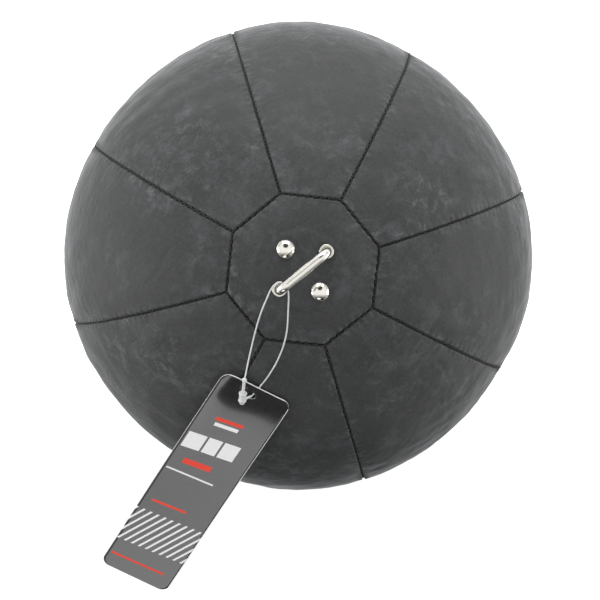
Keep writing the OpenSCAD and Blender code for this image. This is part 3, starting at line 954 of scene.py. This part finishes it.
waxed_thread = waxed_thread_finish("waxed_thread")
corner_angle = math.asin(cap_corner / thread_path_radius) + 0.0005 / ball_radius
stitch_steps = 620
for number in range(1, 9):
    turn = math.radians(45 * number - 22.5)
    seam_side = Vector((-math.sin(turn), math.cos(turn), 0))
    path = []
    for step in range(stitch_steps + 1):
        polar = corner_angle + (math.pi - 2 * corner_angle) * step / stitch_steps
        aside, lift = stitched(polar * ball_radius)
        out = Vector((
            math.sin(polar) * math.cos(turn), math.sin(polar) * math.sin(turn), math.cos(polar)))
        path.append((thread_path_radius + lift) * out + aside * seam_side)
    points, faces = tube(path, [thread_radius] * len(path), 7)
    seam = linked_piece(f"seam_stitches_{number}", points, faces, [waxed_thread], ball_centre)
    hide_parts(f"seam_thread_{number}")
    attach(seam, "ball")

side_half = cap_side * math.tan(math.pi / 8)
side_steps = 52
for pole, name, node in ((1, "top_octagon_stitches", "top_cap_thread"),
                         (-1, "bottom_octagon_stitches", "bottom_cap_thread")):
    path = []
    for side in range(8):
        turn = Matrix.Rotation(math.radians(45 * side), 4, "Z")
        for step in range(side_steps):
            along = side_half * (2 * step / side_steps - 1)
            aside, lift = stitched(along + 0.001)
            fade = min(1, (side_half - abs(along)) / thread_fade)
            out = cap_side + aside * fade
            height = math.sqrt(thread_path_radius**2 - out**2 - along**2) + lift * fade
            path.append(turn @ Vector((out, along, height * pole)))
    points, faces = tube(path, [thread_radius] * len(path), 7, closed=True)
    seam = linked_piece(name, points, faces, [waxed_thread], ball_centre)
    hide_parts(node)
    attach(seam, "ball")

# ---- Hanger: backing disc, plate, bar, nuts, eyelets and rivets ----
# A bent steel bar goes through two eyelets, the cap, a leather disc and a steel plate, and
# is held by nuts. Two domed rivets, closed over brass burrs, hold the stack together.


def dress(finish, *names):
    """Gives CAD parts a finish in place of their plain colour."""
    for name in names:
        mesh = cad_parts[name].data
        if not mesh.materials:
            mesh.materials.append(finish)
        for place in range(len(mesh.materials)):
            mesh.materials[place] = finish
        mesh.shade_smooth()


def metal_finish(name, bright, dull, smoothest, roughest):
    """Plated metal: a slightly cloudy plating, handling marks and hairline scratches."""
    finish, tree = new_finish(name)
    place = on_object(tree)
    cloud = cloudy(tree, place, 260, 5, 0.6)
    drawn_out = add(tree, "Mapping", {
        "Rotation": (0.3, 0.2, 0.5), "Scale": (500, 4200, 4200)}, {"Vector": place})
    hairlines = cloudy(tree, drawn_out, 1, 3)
    cover(tree, {"Metallic": 1.0}, {
        "Base Color": two_tone(tree, cloud, dull, bright),
        "Roughness": ranged(tree, cloud, 0.35, 0.65, smoothest, roughest),
        "Normal": raised(tree, hairlines, 0.3, 0.00002)})
    return finish


def flesh_side_finish(name):
    """The rough side of dark leather."""
    finish, tree = new_finish(name)
    nap = cloudy(tree, on_object(tree), 700, 6, 0.7)
    cover(tree, {"Roughness": 0.9, "Sheen Weight": 0.3}, {
        "Base Color": two_tone(tree, nap, (0.02, 0.018, 0.016), (0.07, 0.06, 0.05)),
        "Normal": raised(tree, nap, 0.7, 0.0003)})
    return finish


rolled_plate = metal_finish("rolled_plate", (0.50, 0.50, 0.50), (0.36, 0.36, 0.35), 0.35, 0.55)
bright_zinc = metal_finish("bright_zinc", (0.90, 0.89, 0.83), (0.78, 0.76, 0.69), 0.16, 0.30)
nut_zinc = metal_finish("nut_zinc", (0.62, 0.62, 0.60), (0.48, 0.47, 0.44), 0.25, 0.40)
eyelet_nickel = metal_finish("eyelet_nickel", (0.80, 0.78, 0.70), (0.62, 0.60, 0.52), 0.14, 0.28)
rivet_nickel = metal_finish("rivet_nickel", (0.92, 0.90, 0.84), (0.82, 0.79, 0.71), 0.10, 0.20)
burr_brass = metal_finish("burr_brass", (0.78, 0.58, 0.28), (0.58, 0.41, 0.18), 0.22, 0.4)
dress(flesh_side_finish("flesh_side"), "backing_disc")
dress(rolled_plate, "anchor_plate")
dress(bright_zinc, "hanging_bar")
dress(nut_zinc, "bar_nut_1", "bar_nut_2", "eyelet_washer_1", "eyelet_washer_2")
dress(eyelet_nickel, "eyelet_1", "eyelet_2")
dress(rivet_nickel, "rivet_1", "rivet_2")
dress(burr_brass, "rivet_burr_1", "rivet_burr_2")

# ---- Hang tag ----
# A card 40 by 149 mm, printed black on both sides under a gloss coat, with plain bars
# and a band of slanted lines. Its core shows white at the cut edge; its top left lifts.
card_top = 0.002
card_length = 0.149
card_width = 0.040
card_middle = -0.008
card_thickness = 0.0005
card_corner = 0.005
hole_place = (0.008, -0.0085)
hole_radius = 0.002
corner_lift, side_dip, lift_length = 0.0018, 0.0005, 0.018
bow_depth = 0.0007
fold_middle, fold_slant, fold_width, fold_rate = 0.015, 0.28, 0.0022, 0.00013
hole_rise, hole_rise_width = 0.00043, 0.030


def card_print_finish(name):
    """Black ink under gloss coat, with generic bars and lines in white and red."""
    finish, tree = new_finish(name)
    layout = add(tree, "UVMap", {"uv_map": "card_layout"})
    down, across = [add(tree, "SeparateXYZ", {}, {0: layout}, way) for way in ("X", "Y")]

    def bar(middle, half_height, left, right, tilt):
        """A printed bar, its place given in millimetres on the card."""
        slanted = maths(tree, "MULTIPLY_ADD", across, tilt, down)
        rows = maths(tree, "COMPARE", slanted, middle, half_height)
        columns = maths(tree, "COMPARE", across, (left + right) / 2, (right - left) / 2)
        return maths(tree, "MULTIPLY", rows, columns)

    def all_of(shapes):
        """Several printed shapes as one."""
        total = shapes[0]
        for shape in shapes[1:]:
            total = maths(tree, "MAXIMUM", total, shape)
        return total

    stripe_place = maths(tree, "MULTIPLY_ADD", down, 0.48, across)
    stripe_turn = maths(tree, "FRACT", maths(tree, "MULTIPLY_ADD", stripe_place, 0.25, 0.61))
    stripe_band = bar(116.7, 12.5, -28, 12, 0.06)
    stripes = maths(tree, "MULTIPLY", maths(tree, "COMPARE", stripe_turn, 0.5, 0.16), stripe_band)
    border = all_of([
        maths(tree, "LESS_THAN", down, 2.35), maths(tree, "GREATER_THAN", across, 11.65)])
    white = all_of([
        bar(47.4, 5.6, -26, -16, 0.155), bar(47.4, 5.6, -14.8, -7.4, 0.155),
        bar(47.4, 5.6, -6.2, 2.5, 0.155),
        bar(32.0, 1.2, -17, -4, 0.15), bar(72.0, 0.55, -26, 1, 0.066), stripes, border])
    red = all_of([
        bar(28.2, 1.2, -18, -3, 0.15), bar(62.7, 1.9, -20.3, -4.7, 0.12),
        bar(95.9, 0.8, -22.7, -2.9, 0.08), bar(140.7, 0.7, -26, 5.5, 0.03)])
    speck = cloudy(tree, on_object(tree), 400, 4)
    ink = two_tone(tree, speck, (0.008, 0.008, 0.009), (0.016, 0.016, 0.017))
    with_white = two_tone(tree, white, ink, (1, 1, 1))
    with_red = two_tone(tree, red, with_white, (0.94, 0.075, 0.045))
    waves = cloudy(tree, on_object(tree), 90, 2)

    # the white and red inks lie on top of the gloss, so they are duller
    printed = maths(tree, "MAXIMUM", white, red)
    polish = ranged(tree, speck, 0, 1, 0.14, 0.22)
    cover(tree, {"Coat Roughness": 0.08}, {
        "Base Color": with_red, "Roughness": maths(tree, "MULTIPLY_ADD", printed, 0.5, polish),
        "Coat Weight": maths(tree, "SUBTRACT", 1.0, printed),
        "Normal": raised(tree, waves, 0.12, 0.0004)})
    return finish


def board_finish(name):
    """The cut edge of white card."""
    finish, tree = new_finish(name)
    fibres = cloudy(tree, on_object(tree), 3000, 4)
    cover(tree, {"Roughness": 0.85}, {
        "Base Color": two_tone(tree, fibres, (0.62, 0.61, 0.58), (0.86, 0.85, 0.82))})
    return finish


def lifted(x, y):
    """How far the card bends out of its flat: its top left corner is lifted, its right side
    dips, it bows along its length, and it bends up a little round the hole."""
    left = ((card_middle - y) / (card_width / 2)).clip(0, 1)
    right = ((y - card_middle) / (card_width / 2)).clip(0, 1)
    fade = np.exp(-(x - card_top) / lift_length)
    bow = -bow_depth * np.sin(math.pi * ((x - card_top) / card_length).clip(0, 1)) ** 2
    fold_place = fold_middle - fold_slant * (y - card_middle)
    bend = -fold_rate * np.log1p(np.exp((fold_place - x) / fold_width))
    rest = hole_rise * np.exp(-(((x - hole_place[0]) / hole_rise_width) ** 2))
    return corner_lift * left**4 * fade - side_dip * right**1.5 * fade + bow + bend + rest


card_rows = np.concatenate([
    card_top + card_corner * (1 - np.cos(np.linspace(0, math.pi / 2, 9)[:-1])),
    np.linspace(card_top + card_corner, card_top + card_length - card_corner, 110),
    card_top + card_length - card_corner * (1 - np.cos(np.linspace(math.pi / 2, 0, 9)[1:]))])
from_end = np.minimum(card_rows - card_top, card_top + card_length - card_rows).clip(0, card_corner)
half_width = card_width / 2 - card_corner + np.sqrt(card_corner**2 - (card_corner - from_end) ** 2)
card_columns = 33
card_x = np.repeat(card_rows[:, None], card_columns, axis=1)
card_y = card_middle + half_width[:, None] * np.linspace(-1, 1, card_columns)[None, :]
rows, columns = card_x.shape
card_flat = np.stack([card_x, card_y, lifted(card_x, card_y)], axis=-1).reshape(-1, 3)
face_up = card_flat + np.array((0, 0, card_thickness / 2))
face_down = card_flat - np.array((0, 0, card_thickness / 2))
up_faces = grid_faces(rows, columns)
down_faces = grid_faces(rows, columns, rows * columns, flip=True)
card_rim = rim_of(rows, columns)
side_faces = []
for place, here in enumerate(card_rim):
    after = card_rim[(place + 1) % len(card_rim)]
    side_faces.append((here, after, after + rows * columns, here + rows * columns))
card_points = [to_tag @ Vector(point) for point in np.concatenate([face_up, face_down])]
card_ink = card_print_finish("card_print")
card_board = board_finish("card_board")
card_faces = up_faces + down_faces + side_faces
card = linked_piece("printed_card", card_points, card_faces, [card_ink, card_board])
sides_from = len(up_faces) + len(down_faces)
for face in card.data.polygons[sides_from:]:
    face.material_index = 1
card_layout = card.data.uv_layers.new(name="card_layout")
layout_places = np.concatenate([card_flat, card_flat])[:, :2] * 1000
for corner in card.data.loops:
    card_layout.data[corner.index].uv = layout_places[corner.vertex_index]
hole_profile = [(-0.005, 0), (-0.005, hole_radius), (0.005, hole_radius), (0.005, 0)]
hole_points, hole_faces = lathed(hole_profile, 48)
hole_points = [to_tag @ Vector((x + hole_place[0], y + hole_place[1], z)) for x, y, z in hole_points]
hole_punch = linked_piece("hole_punch", hole_points, hole_faces, [card_board])
put_through(card, "BOOLEAN", "hole", operation="DIFFERENCE", object=hole_punch, solver="EXACT")
bpy.data.objects.remove(hole_punch)
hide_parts("hang_tag")
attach(card, "tag")
